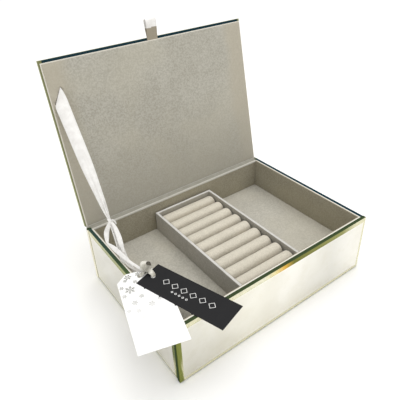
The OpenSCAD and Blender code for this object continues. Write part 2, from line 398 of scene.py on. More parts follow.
# Ground edge of a panel: its colour near the face (outer), where paler a painted highlight of light refracted
# through the glass, and near the back (inner), its upper side's from end to end (top), and the back's in the
# middle and at the ends (back)
Edge = namedtuple("Edge", "outer inner top back")
GREEN_EDGE = Edge((0.085, 0.105, 0.030), (0.028, 0.050, 0.030), (DARK_GREEN, DARK_GREEN), (TEAL, TEAL))
LEFT_EDGE = GREEN_EDGE._replace(top=((0.085, 0.12, 0.030), (0.035, 0.065, 0.055)))
RIGHT_EDGE = Edge(TEAL, TEAL, (TEAL, TEAL), (TEAL, TEAL))
BACK_EDGE = Edge(CREAM, CREAM, (DARK_GREEN, DARK_GREEN), (PALE_GREEN, CREAM))
LID_EDGE = Edge(PALE_GREEN, (0.26, 0.27, 0.16), (PALE_GREEN, PALE_GREEN), (TEAL, (0.20, 0.21, 0.10)))


def panel_share(tree, node, waver):
    """How far along its panel a place is, from 0 to 1, with a run that is slightly uneven."""
    low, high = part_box(node)
    size = high - low
    axis = max(range(3), key=lambda i: size[i])
    values = {"Value": tree.axes()[axis], "From Min": low[axis], "From Max": high[axis]}
    share = tree.add("MapRange", values).outputs["Result"]
    return tree.math("ADD", share, tree.math("MULTIPLY", tree.math("SUBTRACT", waver, 0.5), 0.03))


def face_colour(tree, share, tones, silver, smudge):
    """Mottled silver whose blotches are painted reflection, with smudges and dust, over the painted
    reflection along the panel.
    """
    face = tree.mix(tree.step(silver, 0.32, 0.66), (0.72, 0.70, 0.62), (0.86, 0.85, 0.80))
    face = tree.lay(face, (0.66, 0.63, 0.50), smudge, 0.45, 0.7, 0.3)
    dust = tree.noise(0.0009, detail=3, roughness=0.8)
    face = tree.lay(face, (0.50, 0.48, 0.42), dust, 0.66, 0.8, 0.12)
    return tree.mix(0.45, face, tree.ramp(share, tones))


def bevel_colour(tree, share, off_middle, bands, streak):
    """Painted reflections: bands of colour on the upper bevel and those at the panel's ends, and a pale lower
    one.
    """
    upper = tree.step(tree.axes()["Z"], 0.012, 0.04)
    banded = tree.math("MAXIMUM", upper, tree.step(off_middle, 0.48, 0.487))
    bevel = tree.mix(banded, PALE, tree.ramp(share, bands))
    return tree.lay(bevel, (0.16, 0.19, 0.07), streak, 0.45, 0.7, 0.25)


def edge_colour(tree, node, outward, share, edges, streak):
    """Ground edge: two colours through the glass, the paler one near the face a painted highlight of
    refracted light, and the upper side's own.
    """
    outer = max(v.co.dot(Vector(outward)) for v in frame["nodes"][node].data.vertices)
    depth = tree.math("SUBTRACT", outer, tree.dot(tree.place, outward))
    shift = tree.step(tree.noise(0.11, detail=1), 0.4, 0.6)
    inner = tree.mix(shift, edges.inner, scaled(edges.inner, 1.6))
    edge = tree.mix(tree.step(depth, 1.6 * MM, 3.4 * MM), edges.outer, inner)
    edge = tree.lay(edge, scaled(edges.outer, 0.7), streak, 0.5, 0.7, 0.2)
    top = tree.mix(tree.step(share, 0.1, 0.95), *edges.top)
    return tree.mix(tree.math("GREATER_THAN", tree.facing((0, 0, 1)), 0.5), edge, top)


def mirror_material(node, outward, bands, edges, tones):
    """Silvered glass: a mottled face, a coloured bevel, and a ground edge and back.

    outward is the face's normal at rest.
    """
    tree = Tree(node)
    facing = tree.facing(outward)
    is_face = tree.math("GREATER_THAN", facing, 0.995)
    is_bevel = tree.math("SUBTRACT", tree.math("GREATER_THAN", facing, 0.4), is_face)
    is_back = tree.math("LESS_THAN", facing, -0.5)
    # Blotches of painted reflection on the face, and the noise that makes the panel's run uneven
    silver = tree.noise(0.07, detail=3, distortion=0.8)
    smudge = tree.noise(0.018, detail=4, roughness=0.65)
    streak = tree.noise(0.0016, detail=1)
    share = panel_share(tree, node, silver)
    off_middle = tree.math("ABSOLUTE", tree.math("SUBTRACT", share, 0.5))
    face = face_colour(tree, share, tones, silver, smudge)
    bevel = bevel_colour(tree, share, off_middle, bands, streak)
    edge = edge_colour(tree, node, outward, share, edges, streak)
    back = tree.mix(tree.step(off_middle, 0.485, 0.49), *edges.back)
    edge = tree.mix(is_back, edge, back)
    colour = tree.mix(is_bevel, tree.mix(is_face, edge, face), bevel)
    rough = tree.math("ADD", tree.span(smudge, 0.02, 0.09), tree.total((is_bevel, 0.12), (is_back, 0.5)))
    return tree.finish(
        Base_Color=colour,
        Metallic=tree.math("ADD", is_face, tree.math("MULTIPLY", is_bevel, 0.6)),
        Roughness=rough,
        Specular_IOR_Level=tree.math("MULTIPLY", is_face, 0.45),
        Normal=tree.bump(tree.noise(0.05, detail=1), 0.25 * MM),
    )


def satin_material(name, low, high, shade, roughness=0.35):
    """Woven satin: fine threads across the ribbon, and a darker side where the mesh is marked as shaded."""
    tree = Tree(name, Specular_IOR_Level=0.55, Anisotropic=0.5)
    tree.put(tree.shader, {"Sheen Weight": 0.25, "Sheen Roughness": 0.3, "Sheen Tint": (1, 1, 0.98)})
    warp = tree.threads(tree.stored("across"), 0.35 * MM)
    weft = tree.threads(tree.stored("along"), 0.5 * MM)
    weave = tree.math("MULTIPLY", warp, weft)
    cloudy = tree.noise(0.006, detail=3)
    level = tree.math("ADD", tree.math("MULTIPLY", weave, 0.12), tree.step(cloudy, 0.25, 0.75), clamp=True)
    normal = tree.bump(cloudy, 0.5 * MM, tree.bump(weave, 0.03 * MM))
    rough = tree.span(cloudy, roughness - 0.05, roughness + 0.1)
    colour = tree.mix(tree.step(tree.stored("shade"), 0, 1), tree.mix(level, low, high), shade)
    return tree.finish(Base_Color=colour, Roughness=rough, Normal=normal)


def cloth_material(name, low, high, pale_edge_colour):
    """Plain-woven book cloth, paler along its front and upper edges."""
    tree = Tree(name, Roughness=0.85, Specular_IOR_Level=0.2, Sheen_Weight=0.15)
    axes = tree.axes()
    pitch = 0.6 * MM
    weft = tree.threads(tree.math("ADD", axes["Y"], axes["Z"]), pitch)
    weave = tree.math("MULTIPLY", tree.threads(axes["X"], pitch), weft)
    level = tree.math("ADD", tree.math("MULTIPLY", weave, 0.25), tree.noise(0.008, detail=3))
    along = tree.stored("along")
    # Paler along the front and upper edges
    front = tree.math("SUBTRACT", 1.0, tree.step(along, 3.0 * MM, 4.5 * MM))
    pale_edges = tree.math("ADD", front, tree.step(along, 9.5 * MM, 10.8 * MM), clamp=True)
    colour = tree.mix(pale_edges, tree.mix(level, low, high), pale_edge_colour)
    return tree.finish(Base_Color=colour, Normal=tree.bump(weave, 0.08 * MM))


# ---- mesh helpers ----


def new_piece(name, points, faces, material, matrix=None):
    """Smooth-shaded mesh object from points and faces."""
    mesh = bpy.data.meshes.new(name)
    mesh.from_pydata([tuple(p) for p in points], [], faces)
    if matrix:
        mesh.transform(matrix)
    mesh.validate()
    piece = new_object(name, mesh)
    for polygon in mesh.polygons:
        polygon.use_smooth = True
    piece.data.materials.append(material)
    return piece


def apply_modifiers(piece):
    """Puts the result of the piece's modifiers in its mesh."""
    graph = bpy.context.evaluated_depsgraph_get()
    mesh = bpy.data.meshes.new_from_object(piece.evaluated_get(graph))
    piece.modifiers.clear()
    piece.data = mesh


def thicken(piece, thickness):
    """Gives a sheet its thickness, half of it on either side."""
    solid = piece.modifiers.new("thickness", "SOLIDIFY")
    solid.thickness = thickness
    solid.offset = 0
    apply_modifiers(piece)


def ripple(piece, amount, size, seed):
    """Moves the points along their normals by smooth noise."""
    shift = Vector((seed, 2 * seed, -seed))
    moves = [v.normal * noise.noise(v.co / size + shift) * amount for v in piece.data.vertices]
    for vertex, move in zip(piece.data.vertices, moves):
        vertex.co += move


def slab_places(low, high, radius, step):
    """Places across a slab: a rounded end, even steps, and a rounded end."""
    turn = [radius * (1 - math.tan(math.radians(a))) for a in (45, 30, 15)]
    count = max(1, round((high - low - 2 * radius) / step))
    middle = list(np.linspace(low + radius, high - radius, count + 1))
    return [low + t for t in turn] + middle + [high - t for t in reversed(turn)]


def slab(name, low, high, radius, step, material, matrix=None):
    """Box from low to high with rounded edges, and faces of about step."""
    low, high = Vector(low), Vector(high)
    axes = [slab_places(low[i], high[i], radius, step) for i in range(3)]
    points, index, faces = [], {}, []

    def point(key):
        if key not in index:
            raw = Vector(axes[i][key[i]] for i in range(3))
            core = Vector(min(max(raw[i], low[i] + radius), high[i] - radius) for i in range(3))
            out = raw - core
            index[key] = len(points)
            points.append(core + out.normalized() * radius)
        return index[key]

    for axis in range(3):
        u, v = (axis + 1) % 3, (axis + 2) % 3
        for end in (0, len(axes[axis]) - 1):
            for a in range(len(axes[u]) - 1):
                for b in range(len(axes[v]) - 1):
                    corners = []
                    for da, db in ((0, 0), (1, 0), (1, 1), (0, 1)):
                        key = [0, 0, 0]
                        key[axis], key[u], key[v] = end, a + da, b + db
                        corners.append(point(tuple(key)))
                    faces.append(corners if end else corners[::-1])
    return new_piece(name, points, faces, material, matrix)


def grid_faces(rows, columns, round_rows=False, round_columns=False, flip=False):
    """Faces of a grid of points stored row by row. A round grid's last row or column joins its first."""
    faces = []
    for i in range(rows if round_rows else rows - 1):
        here = i * columns
        after = (i + 1) % rows * columns
        for j in range(columns if round_columns else columns - 1):
            k = (j + 1) % columns
            if flip:
                faces.append((here + j, after + j, after + k, here + k))
            else:
                faces.append((here + j, here + k, after + k, after + j))
    return faces


def smooth_rows(rows, steps):
    """Catmull-Rom curve through the rows, with that many steps between two of them."""
    rows = np.array(rows, float)
    padded = np.vstack([2 * rows[0] - rows[1], rows, 2 * rows[-1] - rows[-2]])
    made = []
    for i in range(1, len(padded) - 2):
        a, b, c, d = padded[i - 1 : i + 3]
        for t in np.arange(steps) / steps:
            square = 2 * a - 5 * b + 4 * c - d
            cube = 3 * b - a - 3 * c + d
            made.append(0.5 * (2 * b + (c - a) * t + square * t**2 + cube * t**3))
    made.append(rows[-1])
    return np.array(made)


def unit(v):
    """Each row of v, made one long."""
    return v / np.linalg.norm(v, axis=-1, keepdims=True)


def doubled_section(s, width):
    """Section of a ribbon doubled lengthwise: from edge to edge, round the fold."""
    turn = s * math.radians(172)
    sideways = np.cos(turn)[None, :] * width[:, None] / 2
    deep = -np.sin(turn)[None, :] * (0.16 + 0.04 * width[:, None])
    return sideways, deep


def pleated_section(s, width, run, flat_width, pleats):
    """Section of a single ribbon, with pleats where it is seen much narrower than it is."""
    spare = np.sqrt(np.clip((flat_width / width) ** 2 - 1, 0, 9))
    depth = np.clip((spare - 0.9) * width / (2 * math.pi * pleats) * 1.3, 0, 1.3)
    drift = 0.7 + 0.9 * np.sin(run / 23)
    sideways = s[None, :] * width[:, None] / 2
    deep = np.sin(math.pi * pleats * s[None, :] + drift[:, None]) * depth[:, None]
    return sideways, deep


def ribbon(
    name, stations, flat_width, material, across,
    steps=10, pleats=2.0, thickness=0.24 * MM, folded=False, square=True,
):
    """Ribbon through stations of (middle, direction across, seen width, bow of the section), in mm.

    It has that many faces across, and steps from one station to the next. A folded ribbon is doubled
    lengthwise. A square one keeps its direction across at right angles to its run.
    """
    rows = [[*middle, *unit(np.array(side, float)), width, curl] for middle, side, width, curl in stations]
    curve = smooth_rows(rows, steps)
    middle, side, width, curl = curve[:, :3], unit(curve[:, 3:6]), curve[:, 6], curve[:, 7]
    along = unit(np.gradient(middle, axis=0))
    if square:
        side = unit(side - (side * along).sum(1, keepdims=True) * along)
    out = unit(np.cross(along, side))
    run = lengths_along(middle)
    s = np.linspace(-1, 1, across + 1)
    if folded:
        sideways, deep = doubled_section(s, width)
    else:
        sideways, deep = pleated_section(s, width, run, flat_width, pleats)
    bow = curl[:, None] * (1 - s[None, :] ** 2)
    spread = side[:, None, :] * sideways[:, :, None]
    raised = out[:, None, :] * (deep + bow)[:, :, None]
    points = (middle[:, None, :] + spread + raised) * MM
    piece = new_piece(name, points.reshape(-1, 3), grid_faces(len(middle), across + 1), material)
    set_values(piece, "along", np.repeat(run * MM, across + 1))
    set_values(piece, "across", np.tile(s * flat_width / 2 * MM, len(middle)))
    thicken(piece, thickness)
    return piece


def lengths_along(points):
    """Distance of each point from the first one, along the line through them."""
    return np.concatenate([[0], np.cumsum(np.linalg.norm(np.diff(points, axis=0), axis=1))])


def set_values(piece, name, values):
    """Stores one number for each point of the piece."""
    attribute = piece.data.attributes.new(name, "FLOAT", "POINT")
    attribute.data.foreach_set("value", np.array(values, np.float32))


def shade_below(piece, height, amount):
    """Marks the points lower than the height, in mm, as shaded by that amount."""
    set_values(piece, "shade", [amount if v.co.z < height * MM else 0.0 for v in piece.data.vertices])


def shade_within(piece, centre, axis, radius):
    """Marks the points of a loop that lie nearer to its axis than the radius, in mm."""
    marks = []
    for vertex in piece.data.vertices:
        out = vertex.co / MM - centre
        out -= axis * out.dot(axis)
        marks.append(1.0 if out.length < radius else 0.0)
    set_values(piece, "shade", marks)


# ---- velvet lining ----


def add_wall_linings(material):
    """Velvet-covered cards round the inside, with soft edges, and a slit for the stay in the left one."""
    for side in ("front", "back", "left", "right"):
        node = side + "_lining"
        piece = slab(node + "_velvet", *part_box(node), 0.42 * MM, 6 * MM, material)
        if side == "left":
            cut_slot(piece, Matrix.Translation(WALL_SLIT), (SLIT_WIDTH * 4, SLIT_LENGTH, SLIT_WIDTH))
        ripple(piece, 0.08 * MM, 18 * MM, seed=len(side))
        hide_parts(node)
        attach(piece, "box")


def cut_slot(piece, place, size):
    """Cuts a block of that size out of the piece, at a place matrix."""
    cutter = bmesh.new()
    bmesh.ops.create_cube(cutter, size=1)
    cutter.transform(place @ Matrix.Diagonal((*size, 1)))
    mesh = bpy.data.meshes.new("slot_cutter")
    cutter.to_mesh(mesh)
    cutter.free()
    helper = new_object("slot_cutter", mesh)
    cut = piece.modifiers.new("slot", "BOOLEAN")
    cut.operation = "DIFFERENCE"
    cut.solver = "EXACT"
    cut.object = helper
    apply_modifiers(piece)
    bpy.data.objects.remove(helper)


def add_lid_lining(material):
    """Velvet-covered card in the lid, with the diagonal slit that the stay comes out of."""
    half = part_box("lid_lining")[1].x
    low = (-half, -197 * MM, 0)
    high = (half, -1.2 * MM, MM)
    piece = slab("lid_lining_velvet", low, high, 0.4 * MM, 6 * MM, material)
    slit = Matrix.Translation(LID_SLIT) @ Matrix.Rotation(LID_SLIT_TURN, 4, "Z")
    cut_slot(piece, slit, (SLIT_LENGTH, SLIT_WIDTH, 6 * MM))
    ripple(piece, 0.1 * MM, 22 * MM, seed=9)
    piece.data.transform(ON_LID)
    # Painted shade: a dark strip under the slit
    add_slit_shade_strip(slit)
    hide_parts("lid_lining")
    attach(piece, "lid")


def add_slit_shade_strip(slit):
    """Dark strip of painted shade under the lid's slit, so that the slit shows dark."""
    strip_shade = felt_material("slit_shade_strip", (0.012, 0.011, 0.010), (0.025, 0.023, 0.02))
    half = Vector((SLIT_LENGTH, SLIT_WIDTH)) / 2
    low = (-half.x, -half.y, 0.82 * MM)
    high = (half.x, half.y, 0.98 * MM)
    shade_strip = slab("lid_slit_shade_strip", low, high, 0.07 * MM, 2 * MM, strip_shade, ON_LID @ slit)
    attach(shade_strip, "lid")


def add_floor_pad(material):
    """Raised velvet floor, thinly padded, with soft edges and a slightly uneven top."""
    piece = slab("floor_pad_velvet", *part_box("floor_pad"), 0.8 * MM, 5 * MM, material)
    ripple(piece, 0.2 * MM, 26 * MM, seed=4)
    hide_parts("floor_pad")
    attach(piece, "box")


# ---- ring tray ----


def add_tray(wall_velvet_painted_shade, roll_velvet):
    add_tray_walls(wall_velvet_painted_shade)
    base = slab("tray_base_velvet", *clear_box("tray_base"), 0.4 * MM, 10 * MM, wall_velvet_painted_shade)
    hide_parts("tray_base")
    bed = slab("roll_bed_velvet", *clear_box("roll_bed"), 0.9 * MM, 4 * MM, roll_velvet)
    ripple(bed, 0.15 * MM, 9 * MM, seed=2)
    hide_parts("roll_bed")
    for piece, slot in ((base, "tray_velvet"), (bed, "roll_velvet")):
        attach(piece, "tray")
    roll_count = sum(node.startswith("ring_roll_") for node in frame["nodes"])
    for number in range(1, roll_count + 1):
        add_roll(number, roll_velvet)


def clear_box(node):
    """A node's box, a little smaller on every side, so that it clears its neighbours."""
    low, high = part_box(node)
    inset = Vector((0.05 * MM,) * 3)
    return low + inset, high - inset


def wall_section(thick, tall, r):
    """Outline of a wall with corners of radius r: up its outer face, over the top and down its inner one."""

    def corner(x, z, start):
        turns = [math.radians(start + 22.5 * k) for k in range(5)]
        return [(x + r * math.cos(a), z + r * math.sin(a)) for a in turns]

    up = [(thick, r + (tall - 2 * r) * (k / 5)) for k in range(1, 5)]
    down = [(0, r + (tall - 2 * r) * (1 - k / 5)) for k in range(1, 5)]
    outer = corner(thick - r, r, -90) + up + corner(thick - r, tall - r, 0)
    return outer + corner(r, tall - r, 90) + down + corner(r, r, 180)


def add_tray_walls(material):
    """One velvet-wrapped frame: mitred corners, rounded top and bottom edges."""
    low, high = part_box("tray_left_wall")
    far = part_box("tray_right_wall")[1]
    thick = high.x - low.x
    middle = Vector(((low.x + far.x) / 2, (low.y + high.y) / 2, low.z))
    half = Vector(((far.x - low.x) / 2, (high.y - low.y) / 2))
    section = wall_section(thick, high.z - low.z, 0.9 * MM)
    corners = [Vector((-1, -1)), Vector((1, -1)), Vector((1, 1)), Vector((-1, 1))]
    places = []
    for corner, following in zip(corners, corners[1:] + corners[:1]):
        places += [corner.lerp(following, t) for t in np.arange(0, 1, 0.04)]
    points = []
    for place in places:
        for out, z in section:
            inset = Vector((half.x - thick + out, half.y - thick + out))
            points.append(middle + Vector((place.x * inset.x, place.y * inset.y, z)))
    faces = grid_faces(len(places), len(section), round_rows=True, round_columns=True, flip=True)
    piece = new_piece("tray_frame_velvet", points, faces, material)
    bevel = piece.modifiers.new("corner", "BEVEL")
    bevel.width = 0.6 * MM
    bevel.segments = 3
    bevel.limit_method = "ANGLE"
    bevel.angle_limit = math.radians(60)
    apply_modifiers(piece)
    ripple(piece, 0.14 * MM, 12 * MM, seed=6)
    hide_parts("tray_left_wall", "tray_right_wall", "tray_front_wall", "tray_back_wall")
    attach(piece, "tray")


def roll_profile(length, radius):
    """Outline of a roll, as (place along it, distance from its axis), with dented, domed ends."""
    dent = 0.4 * MM
    dome = 3.2 * MM
    profile = [(dent, 0.0)]
    for k in range(1, 4):
        profile.append((dent * (1 - k / 4), (radius - dome) * k / 3.4))
    for k in range(7):
        a = math.radians(15 * k)
        profile.append((dome * (1 - math.cos(a)), radius - dome + dome * math.sin(a)))
    steps = 22
    body = [(dome + (length - 2 * dome) * k / steps, radius) for k in range(1, steps)]
    return profile + body + [(length - x, r) for x, r in reversed(profile)]


def add_roll(number, material):
    """Velvet ring roll: a foam cylinder with soft, domed ends and a slightly uneven nap."""
    node = f"ring_roll_{number}"
    low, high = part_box(node)
    centre = Vector((low.x, (low.y + high.y) / 2, (low.z + high.z) / 2))
    profile = roll_profile(high.x - low.x, (high.z - low.z) / 2)
    around = 44
    points = []
    for x, r in profile:
        for k in range(around):
            a = 2 * math.pi * k / around
            points.append(centre + Vector((x, r * math.cos(a), r * math.sin(a))))
    faces = grid_faces(len(profile), around, round_columns=True)
    piece = new_piece(node + "_velvet", points, faces, material)
    weld = bmesh.new()
    weld.from_mesh(piece.data)
    bmesh.ops.remove_doubles(weld, verts=weld.verts, dist=0.01 * MM)
    bmesh.ops.recalc_face_normals(weld, faces=weld.faces)
    weld.to_mesh(piece.data)
    weld.free()
    ripple(piece, 0.22 * MM, 9 * MM, seed=number)
    slim = 0.985
    squeeze = 1 + 0.012 * math.sin(number * 1.7)
    for vertex in piece.data.vertices:
        vertex.co.z = centre.z + (vertex.co.z - centre.z) * squeeze * slim
        vertex.co.y = centre.y + (vertex.co.y - centre.y) * slim
    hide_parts(node)
    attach(piece, "tray")


# ---- cloth hinge ----


def add_hinge_cloth(material):
    """Strip of book cloth that lies on the back rim, creases behind it, and runs up the lid."""
    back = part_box("back_lining")[0].y / MM
    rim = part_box("box_hinge_cloth")[1].z / MM
    crease = HINGE.y / MM
    section = [
        (back - 0.2, rim - 2.0),
        (back - 0.2, rim - 0.7),
        (back + 0.15, rim - 0.05),
        (back + 1.0, rim + 0.05),
        (back + 2.4, rim - 0.2),
        (back + 4.5, rim - 0.22),
        (crease - 1.0, rim - 0.18),
        (crease - 0.35, rim + 0.05),
    ]
    for out, up in ((0.35, 0.35), (0.75, 0.6), (1.1, 0.75)):
        place = HINGE - LID_BACK * out * MM + LID_UP * up * MM
        section.append((place.y / MM, place.z / MM))
    section = smooth_rows(section, 4)
    half = 134.6
    along = np.linspace(-half, half, 120)
    # Past the crease the cloth is longer, so that it reaches the lid's corners
    flare = [1 + 0.032 * min(1, max(0, (y - crease + 1.8) / 0.8)) for y, _ in section]
    points = [Vector((x * longer, y, z)) * MM for x in along for (y, z), longer in zip(section, flare)]
    piece = new_piece("hinge_cloth", points, grid_faces(len(along), len(section), flip=True), material)
    run = lengths_along(section) * MM
    set_values(piece, "along", np.tile(run, len(along)))
    ripple(piece, 0.06 * MM, 7 * MM, seed=3)
    thicken(piece, 0.3 * MM)
    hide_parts("box_hinge_cloth", "lid_hinge_cloth")
    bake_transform(piece)


# ---- ribbons ----


def follow_lid(piece):
    """Puts the piece's place into its mesh; the piece rides on no body."""
    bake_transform(piece)


def route(start, rows):
    """Ribbon stations from rows of (offset from the start, direction across, seen width, bow)."""
    return [(start + Vector(offset), side, width, bow) for offset, side, width, bow in rows]


def add_stay(material):
    """Stay ribbon from the lid's slit, pinched by the tie, to the wall's slit."""
    slit_run = ON_LID.to_3x3() @ Vector((math.cos(LID_SLIT_TURN), math.sin(LID_SLIT_TURN), 0))
    top = (ON_LID @ LID_SLIT) / MM
    tuck = top + LID_UP * 0.7
    tie, end = TIE / MM, WALL_SLIT / MM
    face = Vector((0.958, -0.232, 0.164))
    down = (tie - top).normalized()
    gather = Vector((0.95, -0.28, 0.12))
    stations = [
        (tuck, slit_run, 18.6, 0),
        (top - LID_UP * 0.2, slit_run, 18.6, 0),
        (top + down * 8, slit_run.lerp(face, 0.5), 16.6, 0.8),
        (top.lerp(tie, 0.14), slit_run.lerp(face, 0.85), 15.0, 1.6),
        (top.lerp(tie, 0.28), face, 14.3, 2.4),
        (top.lerp(tie, 0.42), face, 14.0, 2.6),
        (top.lerp(tie, 0.54), face, 13.4, 2.4),
        (top.lerp(tie, 0.64), face, 12.0, 2.0),
        (top.lerp(tie, 0.75), gather, 9.8, 1.5),
        (top.lerp(tie, 0.88), gather, 7.0, 0.9),
        (top.lerp(tie, 0.96), gather, 3.9, 0.3),
        (tie, gather, 2.6, 0),
    ]
    stations += route(tie, [
        ((0.4, -4, -6), (0.95, -0.3, 0.1), 4.4, 0.4),
        ((0.6, -10, -14), (0.93, -0.35, 0.1), 6.4, 0.8),
        ((-0.4, -18, -25), (0.9, -0.42, 0.1), 7.4, 1.2),
        ((-1.2, -26.5, -35), (0.75, -0.65, 0.1), 9.4, 1.6),
        ((-0.2, -33.5, -44), (0.35, -0.93, 0.05), 14.8, 1.2),
    ])
    stations += route(end, [((1.0, 0, 0.5), (0, -1, 0), 18.4, 0), ((-0.8, 0, 0), (0, -1, 0), 18.4, 0)])
    piece = ribbon("stay_ribbon_satin", stations, 19, material, across=28, pleats=2.5, square=False)
    shade_below(piece, tie.z - 3, 0.14)
    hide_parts("stay_ribbon")
    follow_lid(piece)


def add_tag_strands(material):
    """The two strands of the tag ribbon, from the tie down to the bow."""
    tie, bow = TIE / MM, BOW / MM
    left = route(tie, [
        ((0.2, -2.0, 1.2), (0.9, -0.4, 0.1), 2.6, 0),
        ((-3.2, -1.4, -4.6), (0.8, -0.4, 0.4), 4.2, 0.4),
        ((-6.6, -1.6, -11.5), (0.9, -0.4, 0.1), 5.6, 0.7),
        ((-8.8, -4.5, -17.0), (0.9, -0.3, -0.1), 4.6, 0.5),
        ((-10.2, -8.2, -20.6), (0.7, -0.1, 0.5), 2.6, 0.1),
        ((-10.0, -9.8, -21.2), (0.4, 0.1, 0.9), 2.8, 0.1),
        ((-7.6, -19.0, -22.8), (0.4, 0.1, 0.9), 6.2, 0.4),
        ((-5.0, -28.5, -25.8), (0.45, 0.1, 0.88), 5.6, 0.4),
        ((-1.4, -39.5, -30.6), (0.6, 0.3, 0.7), 3.2, 0.2),
        ((4.0, -50.0, -35.2), (0.7, 0.4, 0.5), 2.8, 0.2),
    ])
    left += route(bow, [((-0.6, 2.0, 0.2), (0.2, 0.4, 0.85), 3.4, 0)])
    right = route(tie, [
        ((0.8, -2.6, 0.2), (0.9, -0.3, 0.2), 2.6, 0),
        ((1.8, -8.4, -6.0), (0.9, -0.2, 0.35), 4.0, 0.5),
        ((1.3, -14.8, -12.8), (0.9, -0.2, 0.35), 5.2, 0.7),
        ((0.2, -20.2, -18.6), (0.9, -0.2, 0.35), 5.0, 0.6),
        ((-0.6, -25.0, -24.6), (0.8, 0.0, 0.5), 2.8, 0.2),
        ((-1.4, -29.5, -29.6), (0.7, 0.2, 0.6), 1.8, 0.1),
        ((-3.6, -36.0, -35.0), (0.6, 0.3, 0.7), 2.4, 0.2),
        ((1.6, -46.5, -38.6), (0.6, 0.35, 0.7), 2.6, 0.2),
    ])
    right += route(bow, [((0.4, 2.0, -0.8), (0.4, 0.4, 0.8), 3.2, 0)])
    for side, stations, length, shadow in (("left", left, 0.085, 60), ("right", right, 0.070, 26)):
        piece = ribbon("tag_ribbon_" + side, stations, 10, material, across=24, folded=True)
        shade_below(piece, tie.z - shadow, 0.4)
        if side == "left":
            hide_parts("tag_ribbon")
        follow_lid(piece)


def add_tie_knot(material):
    """Turns of the tag ribbon round the stay, and its loose end."""
    tie = TIE / MM
    down = (TIE - ON_LID @ LID_SLIT).normalized()
    side = Vector((0.95, -0.28, 0.12)).normalized()
    front = side.cross(down).normalized()
    for turn in range(2):
        stations = []
        for k in range(13):
            a = 2 * math.pi * k / 12
            radius = 2.0 + 0.25 * math.sin(2 * a + turn)
            place = tie + side * radius * math.cos(a) + front * radius * 0.75 * math.sin(a)
            place = place + down * (1.5 * turn - 0.9 + 0.6 * math.sin(a + turn))
            stations.append((place, down + side * 0.25 * (1 - 2 * turn), 3.0 - 0.8 * turn, 0.4))
        piece = ribbon(f"tie_turn_{turn + 1}", stations, 3.4, material, across=10, steps=4)
        follow_lid(piece)
    stations = route(tie, [
        ((0.4, -2.4, 1.6), (0.1, -0.3, 0.9), 2.0, 0.2),
        ((1.8, -3.4, 2.6), (0.3, -0.3, 0.85), 2.0, 0.4),
        ((3.4, -4.0, 1.4), (0.6, -0.2, 0.6), 1.8, 0.4),
        ((4.4, -4.6, -1.6), (0.8, 0.0, 0.4), 1.5, 0.3),
        ((4.6, -5.2, -3.4), (0.8, 0.0, 0.4), 1.0, 0.2),
    ])
    piece = ribbon("tie_end", stations, 2, material, across=8, steps=8)
    follow_lid(piece)


def add_bow(material):
    """Bow at the tags: a standing curl, a knot, and a tail through each tag's hole."""
    bow = BOW / MM
    white = joint_place("white_tag_swing") / MM
    black = joint_place("black_tag_swing") / MM
    across = Vector((0.446, -0.852, 0.2)).normalized()
    rise = Vector((-0.1, 0.15, 1)).normalized()
    lean = across.cross(rise).normalized()
    rise = lean.cross(across)
    middle = bow + rise * 7.0 + across * 2.0 - lean * 0.4
    curl = []
    for k in range(15):
        a = math.radians(-105 + 25 * k)
        place = middle + rise * 6.2 * math.sin(a) + lean * 5.0 * math.cos(a) + across * 0.1 * k
        curl.append((place, across, 4.4 + min(k, 3) * 0.7, 0))
    to_black = route(bow, [((0.4, 0.4, 0.4), (0.5, -0.3, 0.8), 3.0, 0)])
    to_black += route(bow.lerp(black, 0.35), [((1.8, 0, 2.0), (0.8, 0.2, 0.5), 5.4, 0.8)])
    to_black += route(bow.lerp(black, 0.75), [((1.4, 0, 2.0), (0.9, 0.2, -0.1), 6.0, 1.0)])
    to_black += route(black, [
        ((0.4, -0.8, 1.2), (0.9, 0.1, 0.1), 4.4, 0.4),
        ((0, 0, -0.8), (1, 0, 0), 3.2, 0),
        ((0, 0.6, -3.2), (1, 0, 0), 3.6, 0),
    ])
    to_white = route(bow, [((-0.4, 0.2, 0.2), (0.3, -0.6, 0.6), 3.0, 0)])
    to_white += route(bow.lerp(white, 0.35), [((0, -0.8, 1.4), (0.2, -0.8, 0.5), 4.6, 0.7)])
    to_white += route(bow.lerp(white, 0.75), [((0.4, -0.8, 1.2), (0.2, -0.9, 0.2), 5.0, 0.7)])
    to_white += route(white, [
        ((0.6, 0, 0.9), (0.1, -1, 0), 3.8, 0.4),
        ((0, 0, -0.8), (0, -1, 0), 3.2, 0),
        ((-0.4, 0, -2.8), (0, -1, 0), 3.4, 0),
    ])
    knot = []
    for k in range(13):
        a = 2 * math.pi * k / 12
        place = bow + across * 2.1 * math.cos(a) + Vector((0.3, 0.3, 0.9)).normalized() * 1.8 * math.sin(a)
        knot.append((place, (0.55, 0.8, -0.1), 4.0, 0.5))
    routes = {"bow_curl": curl, "bow_tail_black": to_black, "bow_tail_white": to_white, "bow_knot": knot}
    pieces = []
    for name, stations in routes.items():
        piece = ribbon(name, stations, 4, material, across=12, steps=6)
        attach(piece, "box")
        pieces.append(piece)
    shade_within(pieces[0], middle, across, 5.1)
    for piece in pieces:
        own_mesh(piece)
    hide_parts("ribbon_bow")


